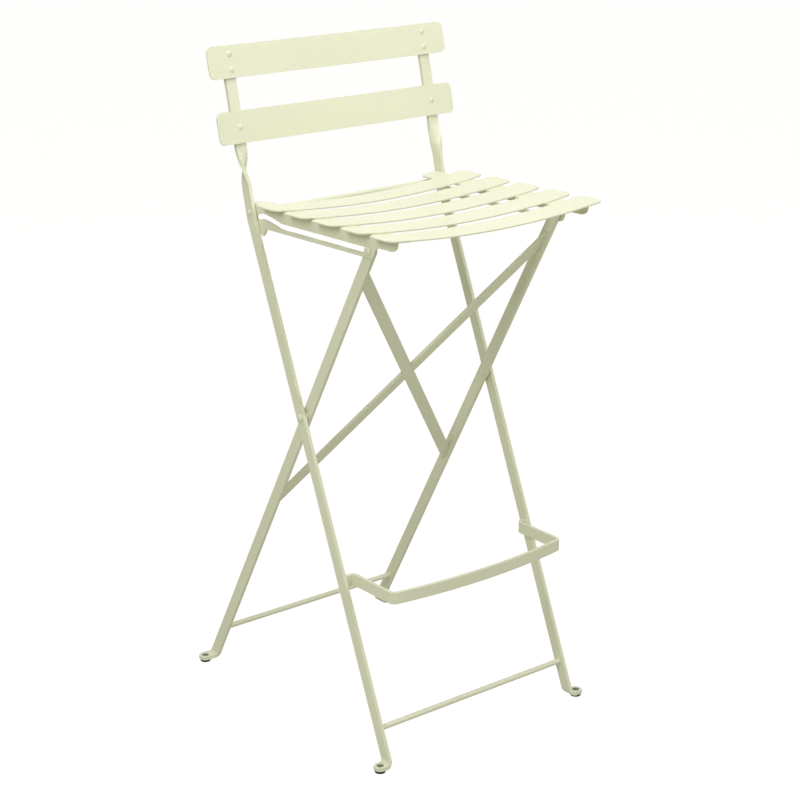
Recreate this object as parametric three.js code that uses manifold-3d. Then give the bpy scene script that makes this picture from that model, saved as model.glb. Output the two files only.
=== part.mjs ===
// Folding bar stool of flat steel bar. The long frame stands on the front feet and carries the
// footrest and the backrest. The rear legs cross it on the main pivots, and pins at their tops slide
// in the slots of the seat's side rails. The seat turns on a rod through the long frame.
// Millimetres, +Z up, the sitter faces -Y. Left and right are those of someone who faces the front.
import * as THREE from "three";
import { mergeVertices } from "three/addons/utils/BufferGeometryUtils.js";
import Module from "manifold-3d";

const wasm = await Module();
wasm.setup();

// Bar stock and the layers from the middle outwards
const barWidth = 17;
const barThickness = 5;
const webThickness = 3; // of a side rail
const layerClearance = 1; // between a bar and the web beside it
const uprightCentre = 171; // from the middle plane to the middle of an upright
const webCentre = uprightCentre - (barThickness + webThickness) / 2 - layerClearance;
const legCentre = webCentre - (barThickness + webThickness) / 2 - layerClearance;
const seatingGap = 0.3; // between pieces that touch
const cutOverrun = 2; // how far a cut runs past what it cuts
const weldLap = 1; // how far two lengths of one bar run into each other

// Side view: heights above the floor and leans from the vertical
const mainPivotHeight = 461.3;
const frontLean = THREE.MathUtils.degToRad(22.56);
const rearLean = THREE.MathUtils.degToRad(28.91);
const backLean = THREE.MathUtils.degToRad(13.5);
const seatPivotRise = 269.3; // of the seat's rod above the main pivot
const slidePivotDrop = 4.7; // of the pins at the tops of the rear legs below the seat's rod
const backBendDrop = 8.6; // of the bend in the uprights below the seat's rod
const backRise = 220.2; // of the uprights' tops above the seat's rod
const twistStartShare = 0.36; // of the height from the seat's rod to the lower back slat
const twistEndShare = 0.965;
const twistSteps = 14;
const uprightColumns = 6; // of facets across the twisted faces
const seatTilt = THREE.MathUtils.degToRad(1.1); // the front edge is the higher one

// Feet
const tabTopHeight = 9.5;
const footBendRadius = 6.5; // of the bar's middle line
const footBendSteps = 6;
const frontHoleOffset = 14.3; // from the middle of the bar out to the hole in its foot
const rearHoleOffset = 16.6;
const footHoleRadius = 5.2;
const glideRadius = 7.8;
const glideEdgeChamfer = 1.2;
const glideNeckRadius = 4.9;
const glideRecess = 0.6; // of the neck's top below the foot's upper face

// Rods and rivets
const stretcherRadius = 4;
const frontStretcherHeight = 53;
const rearStretcherHeight = 63.3;
const seatRodRadius = 4;
const pinRadius = 3;
const pinClearance = 0.3;
const mainHeadRadius = 6;
const mainHeadHeight = 2.8;
const innerHeadRadius = 5;
const innerHeadHeight = 1.8;
const seatHeadRadius = 4.2;
const seatHeadHeight = 2;
const slideHeadRadius = 6.3;
const slideHeadHeight = 2.4;
const spacerRadius = 7;

// Footrest
const footrestHeight = 17.4;
const footrestBottom = 238.2;
const footrestThickness = 5;
const footrestArmClearance = 2.5; // between an arm and the inner face of the rear leg beside it
const footrestReach = 87; // from the seat of its ends on the uprights to the front bar
const footrestBow = 13; // of the front bar's middle ahead of its corners
const footrestCornerRadius = 8;
const footrestTabRadius = 6;
const footrestSetForward = 3.5; // of its ends from the middle of the upright
const cornerSteps = 7;
const bowSteps = 10;

// Cross of braces between the rear legs
const braceTopDrop = 39.5; // of the upper ends below the pins at the tops of the rear legs
const braceBottomDrop = 147.3; // of the lower ends below the main pivot

// Seat slats, in the seat's own frame: forward from the seat pivot and up from it
const slatCount = 5;
const seatFrontOverhang = 68.7; // of the front edge past the pins at the tops of the rear legs
const slatGap = 15.1;
const slatThickness = 1.8;
const slatTipOverhang = 21; // of the tips past the webs of the side rails
const slatCornerRadius = 11;
const slatSag = 11; // of the middle below the tips
const slatTopAtTips = 17.2;
const firstSlatRear = 31;
const curveSteps = 16;

// Side rails
const flangeThickness = 2.5;
const flangeWidth = 29.5; // from the middle of the web to the flange's inner edge
const flangeRear = -8;
const flangeCornerRadius = 12;
const railSetback = 9; // of the rail's front end behind the seat's front edge
const slotHeight = 8.3;
const lowerBarHeight = 5.4; // of the strip of web under the slot
const clawDrop = 30.2; // of the claw's tip below the seat pivot
const clawReach = 21;
const clawRadius = 6;
const noseDepth = 14; // of the rail in front of the slot's lug
const lugWallAhead = 11; // from the pin out to the lug's edge
const slotStraightRear = 66.2; // from the seat's rod forward to the end of the straight part
const slotRearReach = 11.5; // from the seat's rod forward to the rear end of the slot's middle line
// Points on the bend between the two, as shares of its length and of the slot's height
const slotBendShares = [[0, 0], [0.386, 0.55], [0.795, 0.9], [1, 0.55]];

// Back slats
const backSlatOverhang = 27.8; // of the tips past the outer edges of the uprights
const backSlatHeight = 44.5;
const backSlatThickness = 2.2;
const backSlatCornerRadius = 9;
const backSlatBow = 8; // of the tips ahead of the middle
const topSlatProud = 2.2; // of the top slat's upper edge above the uprights' tops
const backSlatPitch = 86.7; // in height from one back slat to the other
const backRivetInset = 1; // of the rivets from the middle of an upright
const backRivetRadius = 2.4;
const backHeadRadius = 4;
const backHeadHeight = 1.8;
const topRivetInsetShare = 0.255; // of a back slat's height, from its edges to its two rivets

// Facets
const roundSteps = 16; // around a turned piece
const arcSteps = 8; // along a drawn arc
const domeSteps = 3; // over a rivet's head

const coat = { color: 0xecefc8, roughness: 0.5, metalness: 0.0 };
const rubber = { color: 0x1b1b1a, roughness: 0.7, metalness: 0.0 };

// Solids

function solidOf(geometry) {
  const bare = geometry.index ? geometry.toNonIndexed() : geometry.clone();
  bare.deleteAttribute("normal");
  bare.deleteAttribute("uv");
  const merged = mergeVertices(bare);
  const build = (corners) =>
    new wasm.Manifold(
      new wasm.Mesh({
        numProp: 3,
        vertProperties: merged.attributes.position.array,
        triVerts: new Uint32Array(corners),
      }),
    );
  const corners = Array.from(merged.index.array);
  const solid = build(corners);
  return solid.volume() > 0 ? solid : build(corners.toReversed()); // faces point outwards
}

function geometryOf(solid) {
  const mesh = solid.getMesh();
  const geometry = new THREE.BufferGeometry();
  geometry.setAttribute("position", new THREE.BufferAttribute(mesh.vertProperties, 3));
  geometry.setIndex(new THREE.BufferAttribute(mesh.triVerts, 1));
  const faceted = geometry.toNonIndexed();
  faceted.computeVertexNormals();
  return faceted;
}

// A bar lofted through stations, each a centre with the half width and half thickness as vectors.
// Columns are the strips that its two broad faces are divided into.
function sweptBar(stations, columns = 1) {
  const points = [];
  for (const { centre, wide, thin } of stations) {
    for (const side of [1, -1]) {
      for (let column = 0; column <= columns; column++) {
        const across = side * (1 - (2 * column) / columns);
        points.push(centre.clone().addScaledVector(wide, across).addScaledVector(thin, side));
      }
    }
  }
  const ring = 2 * (columns + 1);
  const faces = [];
  const quad = (a, b, c, d) => faces.push(a, b, c, a, c, d);
  for (let i = 0; i < stations.length - 1; i++) {
    for (let side = 0; side < ring; side++) {
      const [a, b] = [ring * i + side, ring * i + ((side + 1) % ring)];
      quad(a, b, b + ring, a + ring);
    }
  }
  const last = ring * (stations.length - 1);
  for (let column = 0; column < columns; column++) {
    const opposite = ring - 1 - column;
    quad(column, opposite, opposite - 1, column + 1);
    quad(last + column, last + column + 1, last + opposite - 1, last + opposite);
  }
  const geometry = new THREE.BufferGeometry();
  geometry.setFromPoints(points);
  geometry.setIndex(faces);
  return solidOf(geometry);
}

// A flat plate whose outline is drawn in two world directions and that has its thickness in the third
function plate(shape, across, up, from, thickness) {
  const settings = { depth: thickness, bevelEnabled: false, curveSegments: arcSteps };
  const geometry = new THREE.ExtrudeGeometry(shape, settings);
  const out = new THREE.Vector3().crossVectors(across, up);
  const place = new THREE.Matrix4().makeBasis(across, up, out).setPosition(out.clone().multiplyScalar(from));
  return solidOf(geometry.applyMatrix4(place));
}

// A turned piece: a profile of radius and distance along X
function turned(profile, y, z) {
  const outline = profile.map(([radius, along]) => new THREE.Vector2(radius, along));
  const place = new THREE.Matrix4().makeBasis(yAxis, xAxis, zAxis.clone().negate()).setPosition(0, y, z);
  return solidOf(new THREE.LatheGeometry(outline, roundSteps).applyMatrix4(place));
}

// The profile of a rivet or pin along X, with a domed head at each end that has a head height
function rivetProfile(shank, start, end, startHead, startHeight, endHead, endHeight) {
  const points = [[0, start - startHeight]];
  for (let i = 1; i <= domeSteps && startHeight; i++) {
    const turn = (i / domeSteps) * (Math.PI / 2);
    points.push([startHead * Math.sin(turn), start - startHeight * Math.cos(turn)]);
  }
  points.push([shank, start], [shank, end]);
  for (let i = domeSteps; i >= 1 && endHeight; i--) {
    const turn = (i / domeSteps) * (Math.PI / 2);
    points.push([endHead * Math.sin(turn), end + endHeight * Math.cos(turn)]);
  }
  points.push([0, end + endHeight]);
  return points;
}

function roundedRectangle(left, bottom, width, height, radius) {
  const [right, top] = [left + width, bottom + height];
  const shape = new THREE.Shape();
  shape.moveTo(left + radius, bottom);
  shape.lineTo(right - radius, bottom);
  shape.absarc(right - radius, bottom + radius, radius, -Math.PI / 2, 0);
  shape.lineTo(right, top - radius);
  shape.absarc(right - radius, top - radius, radius, 0, Math.PI / 2);
  shape.lineTo(left + radius, top);
  shape.absarc(left + radius, top - radius, radius, Math.PI / 2, Math.PI);
  shape.lineTo(left, bottom + radius);
  shape.absarc(left + radius, bottom + radius, radius, Math.PI, 1.5 * Math.PI);
  return shape;
}

// A strip that bows along X: its profile rises by bow from the middle to the tips
function bowedStrip(halfLength, bow, thickness, across, up, from, depth) {
  const shape = new THREE.Shape();
  const rise = (x) => bow * (x / halfLength) ** 2;
  for (let i = 0; i <= curveSteps; i++) {
    const x = halfLength * (2 * i / curveSteps - 1);
    i ? shape.lineTo(x, rise(x)) : shape.moveTo(x, rise(x));
  }
  for (let i = curveSteps; i >= 0; i--) {
    const x = halfLength * (2 * i / curveSteps - 1);
    shape.lineTo(x, rise(x) + thickness);
  }
  return plate(shape, across, up, from, depth);
}

const xAxis = new THREE.Vector3(1, 0, 0);
const yAxis = new THREE.Vector3(0, 1, 0);
const zAxis = new THREE.Vector3(0, 0, 1);

// The side view, with the main pivot at y = 0
const seatPivotHeight = mainPivotHeight + seatPivotRise;
const slidePivotHeight = seatPivotHeight - slidePivotDrop;
const backBendHeight = seatPivotHeight - backBendDrop;
const uprightTopHeight = seatPivotHeight + backRise;
const frontSlope = Math.tan(frontLean);
const rearSlope = -Math.tan(rearLean);
const backSlope = Math.tan(backLean);
const uprightY = (z) =>
  (Math.min(z, backBendHeight) - mainPivotHeight) * frontSlope +
  Math.max(z - backBendHeight, 0) * backSlope;
const legY = (z) => (z - mainPivotHeight) * rearSlope;
const seatPivotY = uprightY(seatPivotHeight);
const slidePivotY = legY(slidePivotHeight);

// The stations of the bend at the foot of a bar, from the flat end up to the straight bar
function footStations(centreX, lineY, lean) {
  const slope = Math.sign(lineY(mainPivotHeight) - lineY(0)) * Math.tan(lean);
  const halfWide = barWidth / 2 / Math.cos(lean);
  const bendTop = tabTopHeight - barThickness / 2 + footBendRadius;
  const bendLength = (footBendRadius * Math.PI) / 2;
  const stations = [];
  for (let i = footBendSteps; i >= 0; i--) {
    const turn = ((i / footBendSteps) * Math.PI) / 2;
    stations.push({
      centre: new THREE.Vector3(
        centreX + footBendRadius * (1 - Math.cos(turn)),
        lineY(bendTop) - slope * bendLength * (i / footBendSteps),
        bendTop - footBendRadius * Math.sin(turn),
      ),
      wide: new THREE.Vector3(0, halfWide, 0),
      thin: new THREE.Vector3(Math.cos(turn), 0, Math.sin(turn)).multiplyScalar(barThickness / 2),
    });
  }
  return stations;
}

// The flat end of a foot, with its hole
function footTab(centreX, lineY, lean, holeOffset) {
  const start = footStations(centreX, lineY, lean)[0].centre;
  const radius = barWidth / 2 / Math.cos(lean);
  const shape = new THREE.Shape();
  shape.moveTo(start.x - weldLap, start.y - radius);
  shape.lineTo(centreX + holeOffset, start.y - radius);
  shape.absarc(centreX + holeOffset, start.y, radius, -Math.PI / 2, Math.PI / 2);
  shape.lineTo(start.x - weldLap, start.y + radius);
  const hole = new THREE.Path();
  hole.absarc(centreX + holeOffset, start.y, footHoleRadius, 0, 2 * Math.PI);
  shape.holes.push(hole);
  return plate(shape, xAxis, yAxis, tabTopHeight - barThickness, barThickness);
}

function glide(centreX, lineY, lean, holeOffset) {
  const discTop = tabTopHeight - barThickness - seatingGap;
  const neckTop = tabTopHeight - glideRecess;
  const profile = [
    [0, 0],
    [glideRadius - glideEdgeChamfer, 0],
    [glideRadius, glideEdgeChamfer],
    [glideRadius, discTop],
    [glideNeckRadius, discTop],
    [glideNeckRadius, neckTop],
    [0, neckTop],
  ].map(([radius, along]) => new THREE.Vector2(radius, along));
  const holeY = footStations(centreX, lineY, lean)[0].centre.y;
  const geometry = new THREE.LatheGeometry(profile, roundSteps).rotateX(Math.PI / 2);
  return solidOf(geometry.translate(centreX + holeOffset, holeY, 0));
}

const holeThrough = (radius, from, to, y, z) =>
  turned([[0, from], [radius, from], [radius, to], [0, to]], y, z);
const pinHoleRadius = pinRadius + pinClearance;
const sideHole = (centreX, thickness, y, z) => {
  const reach = thickness / 2 + cutOverrun;
  return holeThrough(pinHoleRadius, centreX - reach, centreX + reach, y, z);
};

// The backrest's frame: its origin on the upright at the back's bend, its height along the upright
const backUp = new THREE.Vector3(0, Math.sin(backLean), Math.cos(backLean));
const backOut = new THREE.Vector3(0, -Math.cos(backLean), Math.sin(backLean));
const backOrigin = new THREE.Vector3(0, uprightY(backBendHeight), backBendHeight);
const alongBack = (height) => (height - backBendHeight) / Math.cos(backLean);
const topSlatTopHeight = uprightTopHeight + topSlatProud;
const lowerSlatTopHeight = topSlatTopHeight - backSlatPitch;
const lowerSlatRise = lowerSlatTopHeight - backSlatHeight * Math.cos(backLean) - seatPivotHeight;
const backRivetCentre = uprightCentre - backRivetInset;
const backRivetPlaces = {
  top_back_slat: [
    alongBack(topSlatTopHeight) - backSlatHeight * topRivetInsetShare,
    alongBack(topSlatTopHeight) - backSlatHeight * (1 - topRivetInsetShare),
  ],
  lower_back_slat: [alongBack(lowerSlatTopHeight) - backSlatHeight / 2],
};
const backHoleRadius = backRivetRadius + pinClearance;
const barFrontFace = barThickness / 2;

// A pin across the backrest at a place along the upright
function backTurned(profile, x, along) {
  const outline = profile.map(([radius, out]) => new THREE.Vector2(radius, out));
  const geometry = new THREE.LatheGeometry(outline, roundSteps);
  const centre = backOrigin.clone().addScaledVector(backUp, along).setX(x);
  const place = new THREE.Matrix4().makeBasis(xAxis, backOut, xAxis.clone().cross(backOut));
  return solidOf(geometry.applyMatrix4(place.setPosition(centre)));
}

// Long frame

function upright() {
  const stations = footStations(uprightCentre, uprightY, frontLean);
  const station = (z, lean, turn) => {
    const [across, along] = [Math.sin(turn), Math.cos(turn)];
    const stretch = 1 / Math.cos(lean);
    return {
      centre: new THREE.Vector3(uprightCentre, uprightY(z), z),
      wide: new THREE.Vector3(-across, along * stretch, 0).multiplyScalar(barWidth / 2),
      thin: new THREE.Vector3(along, across * stretch, 0).multiplyScalar(barThickness / 2),
    };
  };
  stations.push(station(backBendHeight, (frontLean + backLean) / 2, 0));
  for (let i = 0; i <= twistSteps; i++) {
    const share = i / twistSteps;
    const z = seatPivotHeight + lowerSlatRise * THREE.MathUtils.lerp(twistStartShare, twistEndShare, share);
    stations.push(station(z, backLean, (THREE.MathUtils.smoothstep(share, 0, 1) * Math.PI) / 2));
  }
  stations.push(station(uprightTopHeight, backLean, Math.PI / 2));
  let solid = sweptBar(stations, uprightColumns)
    .add(footTab(uprightCentre, uprightY, frontLean, frontHoleOffset))
    .subtract(sideHole(uprightCentre, barThickness, 0, mainPivotHeight))
    .subtract(sideHole(uprightCentre, barThickness, seatPivotY, seatPivotHeight));
  const half = barThickness / 2 + cutOverrun;
  for (const along of Object.values(backRivetPlaces).flat()) {
    solid = solid.subtract(backTurned(
      [[0, -half], [backHoleRadius, -half], [backHoleRadius, half], [0, half]], backRivetCentre, along,
    ));
  }
  return solid;
}

// The slat bows forward to its tips, and its rear face lies on the inner edges of the uprights
const backSlatHalfLength = uprightCentre + barWidth / 2 + backSlatOverhang;
const backSlatRise = (x) => backSlatBow * (x / backSlatHalfLength) ** 2;
const backSlatRear = (x) =>
  barFrontFace + seatingGap + backSlatRise(x) - backSlatRise(uprightCentre - barWidth / 2);

function backSlat(topHeight, rivetPlaces) {
  const top = alongBack(topHeight);
  const strip = bowedStrip(
    backSlatHalfLength, backSlatBow, backSlatThickness, xAxis, backOut, -backSlatHeight, backSlatHeight,
  );
  const placed = strip.translate(backOut.clone().multiplyScalar(backSlatRear(0)).toArray());
  const outline = roundedRectangle(
    -backSlatHalfLength, 0, 2 * backSlatHalfLength, backSlatHeight, backSlatCornerRadius,
  );
  const depth = backSlatBow + backSlatThickness + 2 * cutOverrun;
  const blank = plate(outline, xAxis, backUp.clone(), -depth, 2 * depth);
  const flat = placed.intersect(blank);
  const bottom = backOrigin.clone().addScaledVector(backUp, top - backSlatHeight);
  let solid = flat.translate(bottom.toArray());
  const reach = barThickness + backSlatBow + backSlatThickness;
  for (const along of rivetPlaces) {
    for (const side of [-1, 1]) {
      solid = solid.subtract(backTurned(
        [[0, 0], [backHoleRadius, 0], [backHoleRadius, reach], [0, reach]], side * backRivetCentre, along,
      ));
    }
  }
  return solid;
}

// The rivet's front head clears the bowed slat at the head's outer edge
function backRivet(along) {
  const tail = -barThickness / 2 - seatingGap;
  const front = backSlatRear(backRivetCentre + backHeadRadius) + backSlatThickness + seatingGap;
  const head = [backHeadRadius, backHeadHeight];
  return backTurned(rivetProfile(backRivetRadius, tail, front, ...head, ...head), backRivetCentre, along);
}

// The stations along a line of corners, each rounded to its radius or passed through if it has none
function roundedLine(corners) {
  const leftOf = (v) => new THREE.Vector2(-v.y, v.x);
  const stations = [];
  corners.forEach(({ at, radius }, i) => {
    const before = at.clone().sub(corners[Math.max(i - 1, 0)].at).normalize();
    const after = corners[Math.min(i + 1, corners.length - 1)].at.clone().sub(at).normalize();
    if (!radius) {
      stations.push({ at, along: before.add(after).normalize() });
      return;
    }
    const turn = Math.atan2(before.cross(after), before.dot(after));
    const side = Math.sign(turn) * radius;
    const start = at.clone().addScaledVector(before, -radius * Math.tan(Math.abs(turn) / 2));
    const centre = start.addScaledVector(leftOf(before), side);
    for (let k = 0; k <= cornerSteps; k++) {
      const along = before.clone().rotateAround(new THREE.Vector2(), (turn * k) / cornerSteps);
      stations.push({ at: centre.clone().addScaledVector(leftOf(along), -side), along });
    }
  });
  return stations;
}

function footrest() {
  const seatZ = footrestBottom + footrestHeight / 2;
  const endY = uprightY(seatZ) - footrestSetForward;
  const frontY = endY - footrestReach;
  const arm = legCentre - barThickness / 2 - footrestArmClearance - footrestThickness / 2;
  const end = uprightCentre - barThickness / 2 - seatingGap;
  const corner = (x, y, radius) => ({ at: new THREE.Vector2(x, y), radius });
  const front = [];
  for (let i = 1; i < bowSteps; i++) {
    const share = 1 - (2 * i) / bowSteps;
    front.push(corner(arm * share, frontY - footrestBow * (1 - share ** 2), 0));
  }
  const line = roundedLine([
    corner(end, endY, 0),
    corner(arm, endY, footrestTabRadius),
    corner(arm, frontY, footrestCornerRadius),
    ...front,
    corner(-arm, frontY, footrestCornerRadius),
    corner(-arm, endY, footrestTabRadius),
    corner(-end, endY, 0),
  ]);
  return sweptBar(line.map(({ at, along }) => ({
    centre: new THREE.Vector3(at.x, at.y, seatZ),
    wide: new THREE.Vector3(0, 0, footrestHeight / 2),
    thin: new THREE.Vector3(-along.y, along.x, 0).multiplyScalar(footrestThickness / 2),
  })));
}

const stretcher = (innerFace, y, z) =>
  holeThrough(stretcherRadius, seatingGap - innerFace, innerFace - seatingGap, y, z);

function seatRod() {
  const shoulder = webCentre - webThickness / 2 - seatingGap;
  const seat = uprightCentre + barThickness / 2 + seatingGap;
  const half = rivetProfile(pinRadius, shoulder, seat, pinRadius, 0, seatHeadRadius, seatHeadHeight).slice(1);
  const right = [[seatRodRadius, shoulder], ...half];
  const left = right.map(([radius, along]) => [radius, -along]).toReversed();
  return turned([...left, ...right], seatPivotY, seatPivotHeight);
}

function mainRivet() {
  return turned(
    rivetProfile(
      pinRadius,
      legCentre - barThickness / 2 - seatingGap,
      uprightCentre + barThickness / 2 + seatingGap,
      innerHeadRadius, innerHeadHeight, mainHeadRadius, mainHeadHeight,
    ),
    0, mainPivotHeight,
  );
}

function mainSpacer() {
  const inner = legCentre + barThickness / 2 + seatingGap;
  const outer = uprightCentre - barThickness / 2 - seatingGap;
  const bore = pinHoleRadius;
  const ring = [[bore, inner], [spacerRadius, inner], [spacerRadius, outer], [bore, outer], [bore, inner]];
  return turned(ring, 0, mainPivotHeight);
}

// Rear legs

function rearLeg() {
  const stations = footStations(legCentre, legY, rearLean);
  stations.push({
    centre: new THREE.Vector3(legCentre, slidePivotY, slidePivotHeight),
    wide: new THREE.Vector3(0, Math.cos(rearLean), Math.sin(rearLean)).multiplyScalar(barWidth / 2),
    thin: new THREE.Vector3(barThickness / 2, 0, 0),
  });
  const [inner, outer] = [legCentre - barThickness / 2, legCentre + barThickness / 2];
  return sweptBar(stations)
    .add(holeThrough(barWidth / 2, inner, outer, slidePivotY, slidePivotHeight))
    .add(footTab(legCentre, legY, rearLean, rearHoleOffset))
    .subtract(sideHole(legCentre, barThickness, 0, mainPivotHeight))
    .subtract(sideHole(legCentre, barThickness, slidePivotY, slidePivotHeight));
}

// The braces are flat bars in the plane of the rear legs, with mitred ends on the legs' inner faces
const legUp = new THREE.Vector3(0, -Math.sin(rearLean), Math.cos(rearLean));
const alongLeg = (height) => (height - mainPivotHeight) / Math.cos(rearLean);
const braceEnd = legCentre - barThickness / 2 - seatingGap;
const braceTop = alongLeg(slidePivotHeight - braceTopDrop);
const braceBottom = alongLeg(mainPivotHeight - braceBottomDrop);
const braceRise = braceTop - braceBottom;
const braceMiddle = (braceTop + braceBottom) / 2;
const braceAngle = Math.atan2(braceRise, 2 * braceEnd);
const braceHalfMitre = barWidth / 2 / Math.cos(braceAngle);

// A brace from one distance off the middle to another, along the line that falls from left to right.
// An end that is tied, 1 below the crossing and -1 above it, lies along the edge of the other bar.
function bracePiece(from, to, ties) {
  const slope = -Math.tan(braceAngle);
  const line = (x) => braceMiddle + slope * x;
  const shape = new THREE.Shape();
  const corner = (x, side, tied) => {
    const y = line(x) + side * braceHalfMitre;
    if (!tied) return [x, y];
    const edge = side * braceHalfMitre + tied * (braceHalfMitre + seatingGap / Math.cos(braceAngle));
    const cutX = edge / (-2 * slope);
    return [cutX, line(cutX) + side * braceHalfMitre];
  };
  const [fromTie, toTie] = ties;
  shape.moveTo(...corner(from, -1, fromTie));
  shape.lineTo(...corner(to, -1, toTie));
  shape.lineTo(...corner(to, 1, toTie));
  shape.lineTo(...corner(from, 1, fromTie));
  const bar = plate(shape, xAxis, legUp.clone(), -barThickness / 2, barThickness);
  return bar.translate([0, 0, mainPivotHeight]);
}

function topRivet() {
  return turned(
    rivetProfile(
      pinRadius,
      legCentre - barThickness / 2 - seatingGap,
      webCentre - webThickness / 2 - seatingGap,
      innerHeadRadius, innerHeadHeight, pinRadius, 0,
    ),
    slidePivotY, slidePivotHeight,
  );
}

// Seat, in a frame at the seat pivot: forward is towards the front edge, up is away from the floor
const seatForward = new THREE.Vector3(0, -Math.cos(seatTilt), Math.sin(seatTilt));
const seatUp = new THREE.Vector3(0, Math.sin(seatTilt), Math.cos(seatTilt));
const seatPivot = new THREE.Vector3(0, seatPivotY, seatPivotHeight);
const toSlidePivot = new THREE.Vector3(0, slidePivotY, slidePivotHeight).sub(seatPivot);
const slotFrontReach = toSlidePivot.dot(seatForward);
const slotLine = toSlidePivot.dot(seatUp); // the slot's middle line, below the seat pivot
const seatFrontEdge = slotFrontReach + seatFrontOverhang;
const slatPitch = (seatFrontEdge + slatGap - firstSlatRear) / slatCount;
const slatWidth = slatPitch - slatGap;
const slatHalfLength = webCentre + slatTipOverhang;
const slatBottomAt = (x) =>
  slatTopAtTips - slatThickness - slatSag * (1 - (x / slatHalfLength) ** 2);

function seatSlat(index) {
  const rear = firstSlatRear + index * slatPitch;
  const strip = bowedStrip(slatHalfLength, slatSag, slatThickness, xAxis, seatUp, 0, slatWidth);
  const lowest = seatPivot.clone().addScaledVector(seatUp, slatTopAtTips - slatThickness - slatSag);
  const depth = slatSag + slatThickness + cutOverrun;
  const outline = roundedRectangle(-slatHalfLength, 0, 2 * slatHalfLength, slatWidth, slatCornerRadius);
  const blank = plate(outline, xAxis, seatForward.clone(), -depth, 2 * depth);
  return strip.intersect(blank).translate(lowest.addScaledVector(seatForward, rear).toArray());
}

// The slot's middle line: straight from the front, then up over a low hump beside the seat pivot
function slotPath() {
  const bendLength = slotStraightRear - slotRearReach;
  const points = slotBendShares.map(([back, up]) =>
    new THREE.Vector2(slotStraightRear - bendLength * back, slotLine + slotHeight * up));
  const bend = new THREE.SplineCurve(points).getPoints(curveSteps);
  return [new THREE.Vector2(slotFrontReach, slotLine), ...bend];
}

function slotHole() {
  const path = slotPath();
  const half = slotHeight / 2;
  const direction = (i) =>
    path[Math.min(i + 1, path.length - 1)].clone().sub(path[Math.max(i - 1, 0)]).normalize();
  const sides = [1, -1].map((side) =>
    path.map((p, i) => {
      const along = direction(i);
      return p.clone().add(new THREE.Vector2(-along.y, along.x).multiplyScalar(side * half));
    }),
  );
  const cap = (centre, first) => {
    const arc = [];
    for (let i = 1; i < arcSteps; i++) {
      const spoke = first.clone().sub(centre).rotateAround(new THREE.Vector2(), (-Math.PI * i) / arcSteps);
      arc.push(centre.clone().add(spoke));
    }
    return arc;
  };
  const end = path.length - 1;
  return new THREE.Path([
    ...sides[0],
    ...cap(path[end], sides[0][end]),
    ...sides[1].toReversed(),
    ...cap(path[0], sides[1][0]),
  ]);
}

function sideRail() {
  const top = slatBottomAt(webCentre) - seatingGap - flangeThickness / 2;
  const bottom = slotLine - slotHeight / 2 - lowerBarHeight;
  const noseBottom = top - noseDepth;
  const lugFront = slotFrontReach + lugWallAhead;
  const clawRear = clawReach - clawRadius;
  const clawFront = clawReach + clawRadius;
  const railFront = seatFrontEdge - railSetback;
  const flangeInner = webCentre - flangeWidth;
  const shape = new THREE.Shape();
  shape.moveTo(flangeRear, top);
  shape.lineTo(flangeRear - clawRadius / 2, 0);
  shape.quadraticCurveTo(flangeRear, bottom, clawRear, -clawDrop + clawRadius);
  shape.quadraticCurveTo(clawReach, -clawDrop - clawRadius, clawFront, -clawDrop + clawRadius);
  shape.quadraticCurveTo(clawFront + clawRadius / 2, bottom, clawFront + clawRadius, bottom);
  shape.lineTo(lugFront - clawRadius, bottom);
  shape.quadraticCurveTo(lugFront, bottom, lugFront + clawRadius / 2, noseBottom - clawRadius);
  shape.quadraticCurveTo(lugFront + clawRadius, noseBottom, lugFront + 2 * clawRadius, noseBottom);
  shape.lineTo(railFront - noseDepth, noseBottom);
  shape.quadraticCurveTo(railFront, noseBottom, railFront, top);
  const hole = new THREE.Path();
  hole.absarc(0, 0, pinHoleRadius, 0, 2 * Math.PI);
  shape.holes.push(hole, slotHole());
  const web = plate(shape, seatForward.clone(), seatUp.clone(), -webCentre - webThickness / 2, webThickness);
  const drop = slatBottomAt(webCentre) - slatBottomAt(flangeInner);
  const flangeTilt = Math.atan2(drop, webCentre - flangeInner);
  const inward = new THREE.Vector3(Math.cos(flangeTilt), 0, 0).addScaledVector(seatUp, Math.sin(flangeTilt));
  const width = (webCentre - flangeInner) / Math.cos(flangeTilt);
  const leaf = new THREE.Shape();
  const corner = flangeCornerRadius;
  const railEnd = railFront - weldLap;
  leaf.moveTo(0, flangeRear);
  leaf.lineTo(0, railEnd);
  leaf.lineTo(corner - width, railEnd);
  leaf.absarc(corner - width, railEnd - corner, corner, Math.PI / 2, Math.PI);
  leaf.lineTo(-width, flangeRear + corner);
  leaf.absarc(corner - width, flangeRear + corner, corner, Math.PI, 1.5 * Math.PI);
  const flange = plate(leaf, inward, seatForward.clone(), -flangeThickness / 2, flangeThickness);
  const flangeEdge = seatUp.clone().multiplyScalar(top);
  const placed = flange.translate(flangeEdge.setX(webCentre).toArray());
  return web.add(placed).translate(seatPivot.toArray());
}

// Slot pins: a shank in each slot and a broad head on the web's outer face
function slotPin() {
  return turned(
    rivetProfile(
      pinRadius,
      webCentre - webThickness / 2,
      webCentre + webThickness / 2 + seatingGap,
      pinRadius, 0, slideHeadRadius, slideHeadHeight,
    ),
    slidePivotY, slidePivotHeight,
  );
}

// Assembly

function mesh(name, solid, finish, mirrored) {
  const made = new THREE.Mesh(geometryOf(solid), new THREE.MeshStandardMaterial(finish));
  made.name = name;
  if (mirrored) made.scale.x = -1;
  return made;
}

function pair(group, name, solid, finish) {
  group.add(mesh("left_" + name, solid, finish, true));
  group.add(mesh("right_" + name, solid, finish, false));
}

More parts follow.
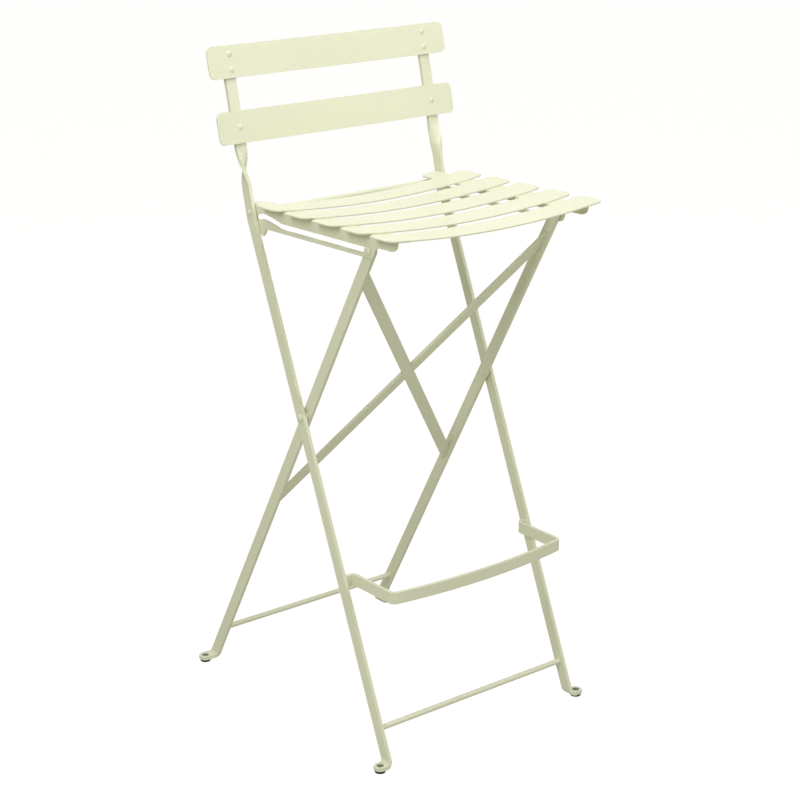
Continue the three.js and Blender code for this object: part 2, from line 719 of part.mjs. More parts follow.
const longFrame = new THREE.Group();
pair(longFrame, "upright", upright(), coat);
longFrame.add(mesh("top_back_slat", backSlat(topSlatTopHeight, backRivetPlaces.top_back_slat), coat));
longFrame.add(mesh("lower_back_slat", backSlat(lowerSlatTopHeight, backRivetPlaces.lower_back_slat), coat));
const [upperRivetPlace, lowerRivetPlace] = backRivetPlaces.top_back_slat;
pair(longFrame, "top_slat_upper_rivet", backRivet(upperRivetPlace), coat);
pair(longFrame, "top_slat_lower_rivet", backRivet(lowerRivetPlace), coat);
pair(longFrame, "lower_slat_rivet", backRivet(backRivetPlaces.lower_back_slat[0]), coat);
longFrame.add(mesh("footrest", footrest(), coat));
const uprightInner = uprightCentre - barThickness / 2;
longFrame.add(mesh(
  "front_stretcher", stretcher(uprightInner, uprightY(frontStretcherHeight), frontStretcherHeight), coat,
));
longFrame.add(mesh("seat_pivot_rod", seatRod(), coat));
pair(longFrame, "main_pivot_rivet", mainRivet(), coat);
pair(longFrame, "main_pivot_spacer", mainSpacer(), coat);
pair(longFrame, "front_glide", glide(uprightCentre, uprightY, frontLean, frontHoleOffset), rubber);

const rearLegs = new THREE.Group();
pair(rearLegs, "rear_leg", rearLeg(), coat);
const legInner = legCentre - barThickness / 2;
rearLegs.add(mesh("long_brace", bracePiece(-braceEnd, braceEnd, [0, 0]), coat));
rearLegs.add(mesh("upper_short_brace", bracePiece(-braceEnd, 0, [0, -1]), coat, true));
rearLegs.add(mesh("lower_short_brace", bracePiece(0, braceEnd, [1, 0]), coat, true));
rearLegs.add(mesh(
  "rear_stretcher", stretcher(legInner, legY(rearStretcherHeight), rearStretcherHeight), coat,
));
pair(rearLegs, "top_rivet", topRivet(), coat);
pair(rearLegs, "rear_glide", glide(legCentre, legY, rearLean, rearHoleOffset), rubber);

const seat = new THREE.Group();
pair(seat, "side_rail", sideRail(), coat);
for (let i = 0; i < slatCount; i++) seat.add(mesh("seat_slat_" + (i + 1), seatSlat(i), coat));

const slotPins = new THREE.Group();
pair(slotPins, "slot_pin", slotPin(), coat);

// The origin lies on the floor under the middle of the stool's box
const stool = new THREE.Group();
stool.add(longFrame, rearLegs, seat, slotPins);
const box = new THREE.Box3().setFromObject(stool, true);
const middle = box.getCenter(new THREE.Vector3());
for (const group of stool.children) group.position.set(-middle.x, -middle.y, -box.min.z);

export default stool;
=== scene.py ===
# Dresses the folding bar stool: rounded bar edges, rivets, welds, powder coat and black glides.
import math

import bpy
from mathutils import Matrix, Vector


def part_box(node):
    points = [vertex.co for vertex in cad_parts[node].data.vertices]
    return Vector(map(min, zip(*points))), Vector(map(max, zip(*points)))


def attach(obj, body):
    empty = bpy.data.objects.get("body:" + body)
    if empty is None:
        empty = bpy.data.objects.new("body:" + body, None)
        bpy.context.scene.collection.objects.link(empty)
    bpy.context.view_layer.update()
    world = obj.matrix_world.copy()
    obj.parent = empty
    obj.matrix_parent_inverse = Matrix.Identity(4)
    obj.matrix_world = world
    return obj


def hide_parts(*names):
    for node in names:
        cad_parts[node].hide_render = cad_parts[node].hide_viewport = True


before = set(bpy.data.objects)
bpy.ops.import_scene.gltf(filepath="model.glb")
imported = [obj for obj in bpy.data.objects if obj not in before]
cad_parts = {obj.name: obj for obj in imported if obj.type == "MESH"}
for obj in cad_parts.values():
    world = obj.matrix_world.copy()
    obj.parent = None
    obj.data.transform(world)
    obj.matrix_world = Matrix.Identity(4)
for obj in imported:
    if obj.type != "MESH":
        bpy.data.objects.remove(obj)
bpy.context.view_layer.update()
scene = bpy.context.scene
print("frame loaded:", len(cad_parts), "pieces")


# Shader maths as Python expressions
class Wire:
    def __init__(self, maker, socket):
        self.maker = maker
        self.socket = socket

    def _maths(self, operation, first, second):
        return self.maker.add("ShaderNodeMath", {"operation": operation}, [first, second])

    def __add__(self, other):
        return self._maths("ADD", self, other)

    def __radd__(self, other):
        return self._maths("ADD", other, self)

    def __sub__(self, other):
        return self._maths("SUBTRACT", self, other)

    def __rsub__(self, other):
        return self._maths("SUBTRACT", other, self)

    def __mul__(self, other):
        return self._maths("MULTIPLY", self, other)

    def __rmul__(self, other):
        return self._maths("MULTIPLY", other, self)


class MaterialMaker:
    def __init__(self, name, fixed):
        self.material = bpy.data.materials.new(name)
        self.material.use_nodes = True
        self.tree = self.material.node_tree
        self.shader = self.tree.nodes["Principled BSDF"]
        for socketName, value in fixed.items():
            self.shader.inputs[socketName].default_value = value

    # A node by type: its settings first, then the values or links of its sockets; one output comes back
    def add(self, kind, settings, values, output=0):
        node = self.tree.nodes.new(kind)
        for key, value in settings.items():
            if key == "stops":
                for stop, (place, shade) in zip(node.color_ramp.elements, value):
                    stop.position = place
                    stop.color = (shade, shade, shade, 1)
            else:
                setattr(node, key, value)
        pairs = values.items() if isinstance(values, dict) else enumerate(values)
        for key, value in pairs:
            if isinstance(value, Wire):
                self.tree.links.new(value.socket, node.inputs[key])
            else:
                node.inputs[key].default_value = value
        return Wire(self, node.outputs[output])

    def place(self):
        return self.add("ShaderNodeTexCoord", {}, [], "Object")

    def noise(self, scale, detail, roughness=0.5):
        values = {"Vector": self.place(), "Scale": scale, "Detail": detail, "Roughness": roughness}
        return self.add("ShaderNodeTexNoise", {}, values, "Fac")

    def ramp(self, source, low, high):
        return self.add("ShaderNodeValToRGB", {"stops": [(low, 0), (high, 1)]}, [source])

    def mixColours(self, share, first, second):
        values = {"Factor": share, 6: first, 7: second}
        return self.add("ShaderNodeMix", {"data_type": "RGBA"}, values, 2)

    def bump(self, height, strength, distance, under=None):
        values = {"Height": height, "Strength": strength, "Distance": distance}
        if under:
            values["Normal"] = under
        return self.add("ShaderNodeBump", {}, values)

    def link(self, socketName, wire):
        self.tree.links.new(wire.socket, self.shader.inputs[socketName])


coatLook = {
    "paler": (0.79, 0.797, 0.587, 1),
    "deeper": (0.762, 0.77, 0.564, 1),
    "worn": (0.72, 0.73, 0.54, 1),
    "ior": 1.5,
    "roughness": 0.42,
    "roughnessSpread": 0.12,
    "mottleScale": 9.0,
    "mottleDetail": 3.0,
    "mottleEdges": (0.35, 0.65),
    "speckleDetail": 2.0,
    "speckleEdges": (0.62, 0.74),
    "speckleShare": 0.35,
    "peelScale": 900.0,
    "peelDetail": 2.0,
    "peelStrength": 0.08,
    "peelDepth": 0.0004,
    "grainScale": 2600.0,
    "grainDetail": 1.0,
    "grainStrength": 0.03,
    "grainDepth": 0.0002,
}
weldCoatLook = {**coatLook, "roughness": 0.5, "peelStrength": 0.2}


def powderCoat(name, look):
    made = MaterialMaker(name, {"Metallic": 0.0, "IOR": look["ior"]})
    mottle = made.ramp(made.noise(look["mottleScale"], look["mottleDetail"]), *look["mottleEdges"])
    speckle = made.ramp(made.noise(look["grainScale"], look["speckleDetail"]), *look["speckleEdges"])
    tone = made.mixColours(mottle, look["deeper"], look["paler"])
    made.link("Base Color", made.mixColours(speckle * look["speckleShare"], tone, look["worn"]))
    peel = made.noise(look["peelScale"], look["peelDetail"])
    grain = made.noise(look["grainScale"], look["grainDetail"])
    made.link("Roughness", look["roughness"] + (peel - 0.5) * look["roughnessSpread"])
    waves = made.bump(peel, look["peelStrength"], look["peelDepth"])
    made.link("Normal", made.bump(grain, look["grainStrength"], look["grainDepth"], waves))
    return made.material


# The glide is one black moulding; the top of its neck is painted a lighter olive grey, a painted sheen
# standing in for the light that top catches in the foot's hole.
glideLook = {
    "dark": (0.01, 0.01, 0.01, 1),
    "scuffed": (0.03, 0.03, 0.029, 1),
    "paintedSheen": (0.19, 0.205, 0.14, 1),
    "paintedSheenHeight": (0.0065, 0.0075),
    "roughness": 0.5,
    "roughnessSpread": 0.25,
    "specular": 0.25,
    "scuffScale": 260.0,
    "scuffDetail": 5.0,
    "scuffRoughness": 0.65,
    "scuffEdges": (0.5, 0.72),
    "grainScale": 1800.0,
    "grainDetail": 3.0,
    "grainStrength": 0.2,
    "grainDepth": 0.0003,
}


def glidePlastic(name, look):
    made = MaterialMaker(name, {"Metallic": 0.0, "Specular IOR Level": look["specular"]})
    scuffNoise = made.noise(look["scuffScale"], look["scuffDetail"], look["scuffRoughness"])
    scuff = made.ramp(scuffNoise, *look["scuffEdges"])
    # Painted sheen: above a set height the neck's top takes the lighter colour in place of the disc's
    # black
    height = made.add("ShaderNodeSeparateXYZ", {}, [made.place()], "Z")
    low, high = look["paintedSheenHeight"]
    values = {"Value": height, "From Min": low, "From Max": high}
    paintedSheen = made.add("ShaderNodeMapRange", {}, values)
    disc = made.mixColours(scuff, look["dark"], look["scuffed"])
    made.link("Base Color", made.mixColours(paintedSheen, disc, look["paintedSheen"]))
    made.link("Roughness", look["roughness"] + scuff * look["roughnessSpread"])
    grain = made.noise(look["grainScale"], look["grainDetail"])
    made.link("Normal", made.bump(grain, look["grainStrength"], look["grainDepth"]))
    return made.material


coat = powderCoat("stoolPowderCoat", coatLook)
weldCoat = powderCoat("coatOverWeld", weldCoatLook)
glideBlack = glidePlastic("glidePlastic", glideLook)
print("materials made")


# Edges that turn by more than these angles, in degrees, stay sharp
smoothing = {"bars": 32, "turned": 40, "welds": 60}
flatWeight = 50
bevelFromDegrees = 35


# Selecting and finishing
def deselectAll():
    for obj in list(bpy.context.selected_objects):
        obj.select_set(False)


def only(obj):
    deselectAll()
    obj.hide_set(False)
    obj.select_set(True)
    bpy.context.view_layer.objects.active = obj


def applyPlace(obj):
    only(obj)
    bpy.ops.object.transform_apply(location=True, rotation=True, scale=True)


def smoothEdges(obj, degrees=smoothing["bars"]):
    only(obj)
    bpy.ops.object.shade_smooth_by_angle(angle=math.radians(degrees))


# Keeps the broad faces flat under smooth shading
def flattenFaces(obj):
    only(obj)
    weighted = obj.modifiers.new("flatFaces", "WEIGHTED_NORMAL")
    weighted.mode = "FACE_AREA"
    weighted.weight = flatWeight
    weighted.keep_sharp = True
    bpy.ops.object.modifier_apply(modifier=weighted.name)


def finishPiece(obj, name, body, material, nodes=()):
    obj.name = name
    obj.data.name = name
    obj.data.materials.clear()
    obj.data.materials.append(material)
    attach(obj, body)
    if nodes:
        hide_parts(*nodes)
    return obj


def roundEdges(obj, width, segments):
    only(obj)
    bevel = obj.modifiers.new("roundedEdges", "BEVEL")
    bevel.width = width
    bevel.segments = segments
    bevel.limit_method = "ANGLE"
    bevel.angle_limit = math.radians(bevelFromDegrees)
    bevel.harden_normals = False
    bevel.use_clamp_overlap = True
    bpy.ops.object.modifier_apply(modifier=bevel.name)


# A bar or sheet piece keeps its solid's form and gets the rounded edges of rolled and pressed steel
barFinish = {
    "uprightEdge": 0.0009,
    "legEdge": 0.0009,
    "braceEdge": 0.0008,
    "footrestEdge": 0.0009,
    "railEdge": 0.0006,
    "seatSlatEdge": 0.0007,
    "backSlatEdge": 0.0008,
    "segments": 3,
    "mergeDistance": 0.00001,
    "flatDegrees": 0.15,
}


# A copy of a solid, with double points merged and flat faces joined
def mergedCopy(nodeName):
    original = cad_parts[nodeName]
    only(original)
    bpy.ops.object.duplicate()
    piece = bpy.context.view_layer.objects.active
    only(piece)
    for key in list(piece.keys()):
        del piece[key]
    piece.parent = None
    bpy.ops.object.mode_set(mode="EDIT")
    bpy.ops.mesh.select_all(action="SELECT")
    bpy.ops.mesh.remove_doubles(threshold=barFinish["mergeDistance"])
    bpy.ops.mesh.dissolve_limited(angle_limit=math.radians(barFinish["flatDegrees"]))
    bpy.ops.object.mode_set(mode="OBJECT")
    return piece


def barPiece(nodeName, body, edge):
    piece = mergedCopy(nodeName)
    roundEdges(piece, edge, barFinish["segments"])
    smoothEdges(piece)
    flattenFaces(piece)
    return finishPiece(piece, nodeName + "_bar", body, coat, [nodeName])


for side in ("left", "right"):
    barPiece(side + "_upright", "long_frame", barFinish["uprightEdge"])
    barPiece(side + "_rear_leg", "rear_legs", barFinish["legEdge"])
    barPiece(side + "_side_rail", "seat", barFinish["railEdge"])
for nodeName in ("long_brace", "upper_short_brace", "lower_short_brace"):
    barPiece(nodeName, "rear_legs", barFinish["braceEdge"])
barPiece("footrest", "long_frame", barFinish["footrestEdge"])
barPiece("top_back_slat", "long_frame", barFinish["backSlatEdge"])
barPiece("lower_back_slat", "long_frame", barFinish["backSlatEdge"])
print("bars and rails done")

# Spot welds hold each slat to the flanges of the side rails and leave a small dimple in its top
spotWeldLook = {
    "ballRadius": 0.0042,
    "ballSides": 24,
    "ballRings": 16,
    "depth": 0.0009,
    "fromTip": 0.034,
    "fromRear": 0.021,
    "rayFrom": 0.05,
}


# The point of a slat's top face straight above or below x, y
def slatTopAt(piece, x, y, look):
    highest = max(corner.co.z for corner in piece.data.vertices)
    return piece.ray_cast(Vector((x, y, highest + look["rayFrom"])), Vector((0, 0, -1)))[1]


def spotDimples(piece, look):
    halfWidth = max(corner.co.x for corner in piece.data.vertices)
    rear = max(corner.co.y for corner in piece.data.vertices)
    for sign in (-1, 1):
        where = slatTopAt(piece, sign * (halfWidth - look["fromTip"]), rear - look["fromRear"], look)
        bpy.ops.mesh.primitive_uv_sphere_add(
            segments=look["ballSides"], ring_count=look["ballRings"], radius=look["ballRadius"],
            location=where + Vector((0, 0, look["ballRadius"] - look["depth"])),
        )
        cutter = bpy.context.view_layer.objects.active
        cut = piece.modifiers.new("dimple", "BOOLEAN")
        cut.operation = "DIFFERENCE"
        cut.solver = "EXACT"
        cut.object = cutter
        only(piece)
        bpy.ops.object.modifier_apply(modifier=cut.name)
        only(cutter)
        bpy.ops.object.delete()


slatNodes = sorted(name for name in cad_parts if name.startswith("seat_slat_"))
for nodeName in slatNodes:
    piece = mergedCopy(nodeName)
    spotDimples(piece, spotWeldLook)
    roundEdges(piece, barFinish["seatSlatEdge"], barFinish["segments"])
    smoothEdges(piece)
    flattenFaces(piece)
    finishPiece(piece, nodeName + "_pressed", "seat", coat, [nodeName])
print("seat slats done")


# A turned piece: a disc that is extruded along its axis and scaled to each radius in turn
turnedSides = 48


def turnedPiece(profile, centre, turn=(0, math.pi / 2, 0)):
    firstRadius, firstAlong = profile[0]
    bpy.ops.mesh.primitive_circle_add(
        vertices=turnedSides, radius=firstRadius, fill_type="NGON", location=(0, 0, firstAlong)
    )
    piece = bpy.context.view_layer.objects.active
    applyPlace(piece)
    bpy.ops.object.mode_set(mode="EDIT")
    bpy.ops.mesh.select_all(action="SELECT")
    radius, along = firstRadius, firstAlong
    for nextRadius, nextAlong in profile[1:]:
        bpy.ops.mesh.extrude_region_move(TRANSFORM_OT_translate={"value": (0, 0, nextAlong - along)})
        ratio = nextRadius / radius
        bpy.ops.transform.resize(value=(ratio, ratio, 1), center_override=(0, 0, nextAlong))
        radius, along = nextRadius, nextAlong
    bpy.ops.mesh.select_all(action="SELECT")
    bpy.ops.mesh.normals_make_consistent(inside=False)
    bpy.ops.object.mode_set(mode="OBJECT")
    piece.rotation_euler = turn
    piece.location = centre
    applyPlace(piece)
    return piece


# A dome's profile from rim to crown, or back; it ends just short of the axis
domeShape = {"steps": 6, "endDegrees": 84}


def dome(radius, height, start, direction, outward=True):
    points = []
    for step in range(domeShape["steps"] + 1):
        turn = (step / domeShape["steps"]) * math.radians(domeShape["endDegrees"])
        points.append((radius * math.cos(turn), start + direction * height * math.sin(turn)))
    return points if outward else points[::-1]


def middle(nodeName):
    low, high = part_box(nodeName)
    return (low + high) / 2


pivotRivetLook = {
    "shank": 0.003,
    "mainHead": 0.006,
    "mainHeadHeight": 0.0028,
    "innerHead": 0.005,
    "innerHeadHeight": 0.0018,
    "rimHeight": 0.0005,
}


# A rivet along X; its inner end is the one nearer the stool's middle, and an end with no head is plain
def sideRivet(nodeName, body, innerHead, innerHeight, outerHead, outerHeight, look):
    low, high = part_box(nodeName)
    sign = 1 if high.x > 0 else -1
    near = min(abs(low.x), abs(high.x))
    far = max(abs(low.x), abs(high.x))
    centre = middle(nodeName)
    shank = look["shank"]
    rim = look["rimHeight"]
    profile = []
    if innerHead:
        seat = near + innerHeight
        profile += dome(innerHead, innerHeight - rim, seat - rim, -1, outward=False)
        profile += [(innerHead, seat), (shank, seat)]
    else:
        profile.append((shank, near))
    if outerHead:
        seat = far - outerHeight
        profile += [(shank, seat), (outerHead, seat)]
        profile += dome(outerHead, outerHeight - rim, seat + rim, 1)
    else:
        profile.append((shank, far))
    turn = (0, sign * math.pi / 2, 0)
    piece = turnedPiece(profile, (0, centre.y, centre.z), turn)
    smoothEdges(piece, smoothing["turned"])
    return finishPiece(piece, nodeName + "_turned", body, coat, [nodeName])


slidePinLook = {"head": 0.0063, "headHeight": 0.0024}
for side in ("left", "right"):
    sideRivet(
        side + "_main_pivot_rivet", "long_frame",
        pivotRivetLook["innerHead"], pivotRivetLook["innerHeadHeight"],
        pivotRivetLook["mainHead"], pivotRivetLook["mainHeadHeight"], pivotRivetLook,
    )
    sideRivet(
        side + "_top_rivet", "rear_legs",
        pivotRivetLook["innerHead"], pivotRivetLook["innerHeadHeight"], 0, 0, pivotRivetLook,
    )
    sideRivet(
        side + "_slot_pin", "slot_pins", 0, 0,
        slidePinLook["head"], slidePinLook["headHeight"], pivotRivetLook,
    )
print("pivot rivets done")


# Spacer rings of the main pivots; the bore is a radius
spacerLook = {"bore": 0.0033, "edge": 0.0004, "edgeSegments": 2}


def spacerPiece(nodeName, body, look):
    low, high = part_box(nodeName)
    centre = middle(nodeName)
    outer = (high.z - low.z) / 2
    bpy.ops.mesh.primitive_cylinder_add(
        vertices=turnedSides, radius=outer, depth=high.x - low.x, end_fill_type="NOTHING"
    )
    piece = bpy.context.view_layer.objects.active
    only(piece)
    wall = piece.modifiers.new("wall", "SOLIDIFY")
    wall.thickness = outer - look["bore"]
    wall.offset = -1
    bpy.ops.object.modifier_apply(modifier=wall.name)
    piece.rotation_euler = (0, math.pi / 2, 0)
    piece.location = centre
    applyPlace(piece)
    roundEdges(piece, look["edge"], look["edgeSegments"])
    smoothEdges(piece)
    return finishPiece(piece, nodeName + "_ring", body, coat, [nodeName])


for side in ("left", "right"):
    spacerPiece(side + "_main_pivot_spacer", "long_frame", spacerLook)


# Rods: the two stretchers, and the seat's pivot rod with its shoulders, journals and heads
def stretcherPiece(nodeName, body):
    low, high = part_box(nodeName)
    radius = (high.z - low.z) / 2
    piece = turnedPiece([(radius, low.x), (radius, high.x)], (0, middle(nodeName).y, middle(nodeName).z))
    smoothEdges(piece)
    return finishPiece(piece, nodeName + "_rod", body, coat, [nodeName])


stretcherPiece("front_stretcher", "long_frame")
stretcherPiece("rear_stretcher", "rear_legs")

# The rod's shoulders lie inside the outer faces of the side rails by shoulderInset
seatRodLook = {
    "rod": 0.004,
    "journal": 0.003,
    "shoulderInset": 0.0033,
    "shoulderChamfer": 0.0005,
    "head": 0.0042,
    "headHeight": 0.002,
    "rimHeight": 0.0004,
}


def seatRodPiece(nodeName, body, look):
    low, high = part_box(nodeName)
    shoulder = min(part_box("right_side_rail")[1].x, high.x) - look["shoulderInset"]
    seat = high.x - look["headHeight"]
    half = [
        (look["rod"], shoulder - look["shoulderChamfer"]),
        (look["rod"] - look["shoulderChamfer"], shoulder),
        (look["journal"], shoulder),
        (look["journal"], seat),
        (look["head"], seat),
    ]
    half += dome(look["head"], look["headHeight"] - look["rimHeight"], seat + look["rimHeight"], 1)
    mirrored = [(radius, -along) for radius, along in half][::-1]
    piece = turnedPiece(mirrored + half, (0, middle(nodeName).y, middle(nodeName).z))
    smoothEdges(piece, smoothing["turned"])
    return finishPiece(piece, nodeName + "_turned", body, coat, [nodeName])


seatRodPiece("seat_pivot_rod", "long_frame", seatRodLook)
print("rods done")


# Backrest rivets, along the lean of the uprights
backRivetLook = {
    "head": 0.004,
    "headHeight": 0.0018,
    "rimHeight": 0.0004,
    "shank": 0.0024,
    "lean": math.radians(13.5),
}


def backRivetPiece(nodeName, body, look):
    low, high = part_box(nodeName)
    centre = middle(nodeName)
    lean = look["lean"]
    across = look["head"] * 2 * math.sin(lean)
    length = (high.y - low.y - across) / math.cos(lean)
    half = length / 2
    front = half - look["headHeight"]
    rim = look["rimHeight"]
    profile = dome(look["head"], look["headHeight"] - rim, -front - rim, -1, outward=False)
    profile += [(look["head"], -front), (look["shank"], -front)]
    profile += [(look["shank"], front), (look["head"], front)]
    profile += dome(look["head"], look["headHeight"] - rim, front + rim, 1)
    piece = turnedPiece(profile, centre, (math.pi / 2 - lean, 0, 0))
    smoothEdges(piece, smoothing["turned"])
    return finishPiece(piece, nodeName + "_turned", body, coat, [nodeName])


for side in ("left", "right"):
    for place in ("top_slat_upper_rivet", "top_slat_lower_rivet", "lower_slat_rivet"):
        backRivetPiece(side + "_" + place, "long_frame", backRivetLook)
print("back rivets done")


# Glides: a moulded disc with a rounded rim, and a neck that fills the hole in the foot
glideShape = {
    "rim": 0.0012,
    "rimSteps": 5,
    "discTop": 0.0042,
    "discChamfer": 0.0004,
    "neck": 0.0049,
    "neckChamfer": 0.0003,
    "pip": 0.0015,
    "pipDepth": 0.0006,
    "pipTaper": 0.8,
}


def glidePiece(nodeName, body, look):
    low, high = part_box(nodeName)
    centre = middle(nodeName)
    radius = (high.x - low.x) / 2
    rim = look["rim"]
    profile = [(radius - rim, 0)]
    for step in range(1, look["rimSteps"] + 1):
        turn = math.radians(90 * step / look["rimSteps"])
        profile.append((radius - rim + rim * math.sin(turn), rim - rim * math.cos(turn)))
    profile += [
        (radius, look["discTop"] - look["discChamfer"]),
        (radius - look["discChamfer"], look["discTop"]),
        (look["neck"], look["discTop"]),
        (look["neck"], high.z - look["neckChamfer"]),
        (look["neck"] - look["neckChamfer"], high.z),
        (look["pip"], high.z),
        (look["pip"] * look["pipTaper"], high.z - look["pipDepth"]),
    ]
    piece = turnedPiece(profile, (centre.x, centre.y, 0), (0, 0, 0))
    smoothEdges(piece)
    return finishPiece(piece, nodeName + "_moulded", body, glideBlack, [nodeName])


for side in ("left", "right"):
    glidePiece(side + "_front_glide", "long_frame", glideShape)
    glidePiece(side + "_rear_glide", "rear_legs", glideShape)
print("glides done")


# Welds: a bead is a long drop, and a ring goes round a rod's end; both have the ripples of a hand weld
weldLook = {
    "ringRadius": 0.0016,
    "ringSteps": 48,
    "ringSides": 14,
    "beadSides": 20,
    "beadRings": 28,
    "ripple": 0.0007,
    "rippleSize": 0.0025,
    "rippleDepth": 2,
}
weldRipple = bpy.data.textures.new("weldRipple", "CLOUDS")
weldRipple.noise_scale = weldLook["rippleSize"]
weldRipple.noise_depth = weldLook["rippleDepth"]


def finishWeld(piece, name, body):
    displace = piece.modifiers.new("ripple", "DISPLACE")
    displace.texture = weldRipple
    displace.texture_coords = "LOCAL"
    displace.strength = weldLook["ripple"]
    displace.mid_level = 0.5
    only(piece)
    bpy.ops.object.modifier_apply(modifier=displace.name)
    smoothEdges(piece, smoothing["welds"])
    return finishPiece(piece, name, body, weldCoat)


def weldBead(name, body, start, end, radius):
    start = Vector(start)
    end = Vector(end)
    along = end - start
    bpy.ops.mesh.primitive_uv_sphere_add(
        segments=weldLook["beadSides"], ring_count=weldLook["beadRings"], radius=radius
    )
    piece = bpy.context.view_layer.objects.active
    stretch = (along.length / 2 + radius) / radius
    piece.scale = (1, 1, stretch)
    piece.rotation_mode = "QUATERNION"
    piece.rotation_quaternion = along.to_track_quat("Z", "Y")
    piece.location = (start + end) / 2
    applyPlace(piece)
    piece.rotation_mode = "XYZ"
    return finishWeld(piece, name, body)


def weldRing(name, body, centre, radius, bead):
    bpy.ops.mesh.primitive_torus_add(
        major_segments=weldLook["ringSteps"], minor_segments=weldLook["ringSides"],
        major_radius=radius, minor_radius=bead, rotation=(0, math.pi / 2, 0), location=centre,
    )
    piece = bpy.context.view_layer.objects.active
    applyPlace(piece)
    return finishWeld(piece, name, body)


# A bead stands on each side of the footrest's turned-out ends
footrestWeldLook = {"radius": 0.0014, "frontInset": 0.005, "endInset": 0.002, "outside": 0.0001}
for side, sign in (("left", -1), ("right", 1)):
    for nodeName, body in (("front_stretcher", "long_frame"), ("rear_stretcher", "rear_legs")):
        low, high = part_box(nodeName)
        end = Vector((sign * high.x, middle(nodeName).y, middle(nodeName).z))
        weldRing(side + "_" + nodeName + "_weld", body, end, (high.z - low.z) / 2, weldLook["ringRadius"])
    low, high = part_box("footrest")
    x = sign * (high.x + footrestWeldLook["outside"])
    for place, y in (("front", high.y - footrestWeldLook["frontInset"]), ("rear", high.y)):
        start = (x, y, low.z + footrestWeldLook["endInset"])
        end = (x, y, high.z - footrestWeldLook["endInset"])
        name = side + "_footrest_" + place + "_weld"
        weldBead(name, "long_frame", start, end, footrestWeldLook["radius"])

# Beads along the mitred ends of the braces, and along the two butt joints where they cross
braceWeldLook = {
    "radius": 0.001,
    "endInset": 0.002,
    "barHalfWidth": 0.0085,
    "halfThickness": 0.0023,
    "halfGap": 0.00015,
    "legLean": math.radians(28.91),
    "rounds": 20,
}
legLean = braceWeldLook["legLean"]
legUp = Vector((0, -math.sin(legLean), math.cos(legLean)))
legOut = Vector((0, -math.cos(legLean), -math.sin(legLean)))
longLow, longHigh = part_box("long_brace")
braceMiddle = (longLow + longHigh) / 2
braceSpan = (longHigh.z - longLow.z) / math.cos(legLean)
braceReach = longHigh.x
# The braces' slope and the height of their mitred ends depend on each other, so rounds settle both
braceAngle = math.atan2(braceSpan, 2 * braceReach)
for _ in range(braceWeldLook["rounds"]):
    halfMitre = braceWeldLook["barHalfWidth"] / math.cos(braceAngle)
    braceAngle = math.atan2(braceSpan - 2 * halfMitre, 2 * braceReach)
halfMitre = braceWeldLook["barHalfWidth"] / math.cos(braceAngle)
braceRise = math.tan(braceAngle) * braceReach
for side, sign in (("left", -1), ("right", 1)):
    for place, end in (("upper", 1), ("lower", -1)):
        centre = braceMiddle + Vector((sign * braceReach, 0, 0)) + legUp * end * braceRise
        run = halfMitre - braceWeldLook["endInset"]
        for face, out in (("front", 1), ("rear", -1)):
            lift = legOut * out * braceWeldLook["halfThickness"]
            start = centre + lift - legUp * run
            stop = centre + lift + legUp * run
            name = side + "_" + place + "_brace_" + face + "_weld"
            weldBead(name, "rear_legs", start, stop, braceWeldLook["radius"])
barAlong = Vector((math.cos(braceAngle), 0, 0)) - legUp * math.sin(braceAngle)
barAcross = Vector((math.sin(braceAngle), 0, 0)) + legUp * math.cos(braceAngle)
for place, sign in (("upper", 1), ("lower", -1)):
    edge = braceMiddle + barAcross * sign * (braceWeldLook["barHalfWidth"] + braceWeldLook["halfGap"])
    halfRun = braceWeldLook["barHalfWidth"] / math.sin(2 * braceAngle) - braceWeldLook["endInset"]
    for face, out in (("front", 1), ("rear", -1)):
        lift = legOut * out * braceWeldLook["halfThickness"]
        shift = barAlong * sign * braceWeldLook["barHalfWidth"] / math.tan(2 * braceAngle)
        start = edge + lift + shift - barAlong * halfRun
        stop = edge + lift + shift + barAlong * halfRun
        weldBead(place + "_crossing_" + face + "_weld", "rear_legs", start, stop, braceWeldLook["radius"])
print("welds done")


# Floor, light and camera
floorLook = {
    "size": 60.0,
    "shade": (0.62, 0.62, 0.53, 1),
    "roughness": 0.9,
    "cameraWhite": 0.66,
    "glow": 1.365,
}


def floorMaterial(look):
    made = MaterialMaker("paleFloor", {"Base Color": look["shade"], "Roughness": look["roughness"]})
    glow = made.add("ShaderNodeEmission", {}, {"Color": (1, 1, 1, 1), "Strength": look["glow"]})
    rays = made.add("ShaderNodeLightPath", {}, [], "Is Camera Ray")
    surface = Wire(made, made.shader.outputs[0])
    mixed = made.add("ShaderNodeMixShader", {}, [rays * look["cameraWhite"], surface, glow])
    made.tree.links.new(mixed.socket, made.tree.nodes["Material Output"].inputs["Surface"])
    return made.material


bpy.ops.mesh.primitive_plane_add(size=floorLook["size"], location=(0, 0, 0))
floor = bpy.context.view_layer.objects.active
floor.name = "paleFloor"
floor.data.materials.append(floorMaterial(floorLook))

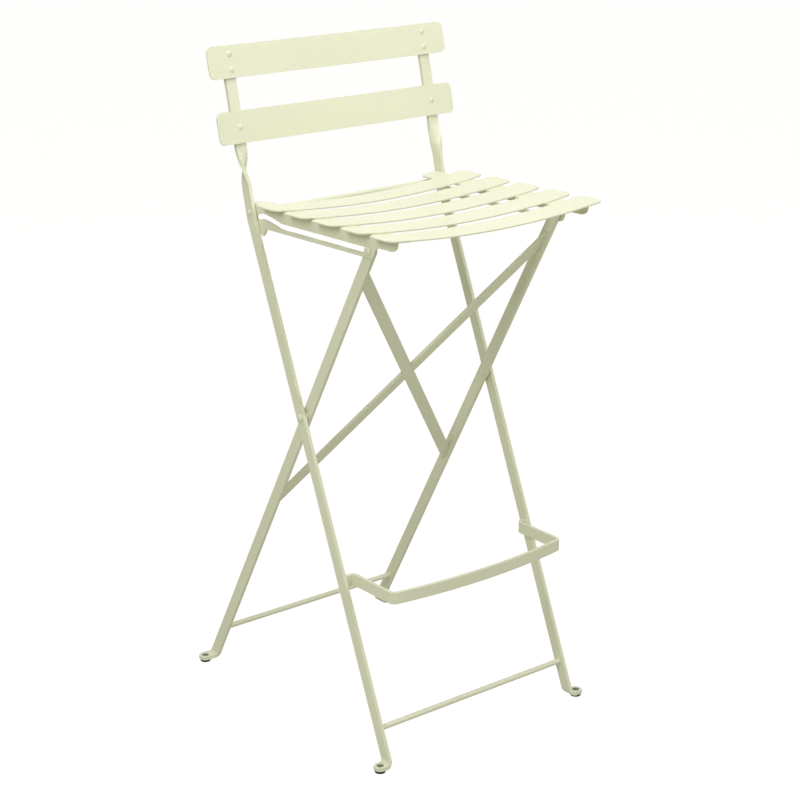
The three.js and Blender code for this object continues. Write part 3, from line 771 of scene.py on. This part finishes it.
worldLook = {"ambient": 0.36, "white": 1.0}
world = bpy.data.worlds.new("studio")
scene.world = world
world.use_nodes = True
tree = world.node_tree
rays = tree.nodes.new("ShaderNodeLightPath")
seen = tree.nodes.new("ShaderNodeMath")
seen.operation = "MAXIMUM"
tree.links.new(rays.outputs["Is Camera Ray"], seen.inputs[0])
tree.links.new(rays.outputs["Is Glossy Ray"], seen.inputs[1])
strength = tree.nodes.new("ShaderNodeMapRange")
tree.links.new(seen.outputs[0], strength.inputs["Value"])
strength.inputs["To Min"].default_value = worldLook["ambient"]
strength.inputs["To Max"].default_value = worldLook["white"]
tree.nodes["Background"].inputs["Color"].default_value = (1, 1, 1, 1)
tree.links.new(strength.outputs["Result"], tree.nodes["Background"].inputs["Strength"])

lampLook = {
    "top": {"place": (-0.2, -0.2, 2.3), "aim": (0, -0.1, 0.6), "size": 1.2, "power": 15.0},
    "front": {"place": (1.2, -1.9, 2.0), "aim": (0, 0.1, 1.1), "size": 1.2, "power": 16.8},
    "left": {"place": (-2.35, -0.9, 2.15), "aim": (0, 0, 0.65), "size": 0.9, "power": 27.0},
}
for lampName, lamp in lampLook.items():
    bpy.ops.object.light_add(type="AREA", location=lamp["place"])
    light = bpy.context.view_layer.objects.active
    light.name = lampName + "Lamp"
    light.data.shape = "SQUARE"
    light.data.size = lamp["size"]
    light.data.energy = lamp["power"]
    aim = Vector(lamp["aim"]) - Vector(lamp["place"])
    light.rotation_euler = aim.to_track_quat("-Z", "Y").to_euler()

cameraLook = {
    "place": (-1.70694, -2.14232, 1.35738),
    "aim": (0, -0.02838, 0.45252),
    "lens": 90.17,
    "sensor": 36,
}
cameraData = bpy.data.cameras.new("photoView")
cameraData.lens = cameraLook["lens"]
cameraData.sensor_width = cameraLook["sensor"]
camera = bpy.data.objects.new("photoView", cameraData)
scene.collection.objects.link(camera)
camera.location = cameraLook["place"]
aim = Vector(cameraLook["aim"]) - Vector(cameraLook["place"])
camera.rotation_euler = aim.to_track_quat("-Z", "Y").to_euler()
scene.camera = camera
scene.view_settings.view_transform = "Standard"
print("floor, light and camera set")

deselectAll()
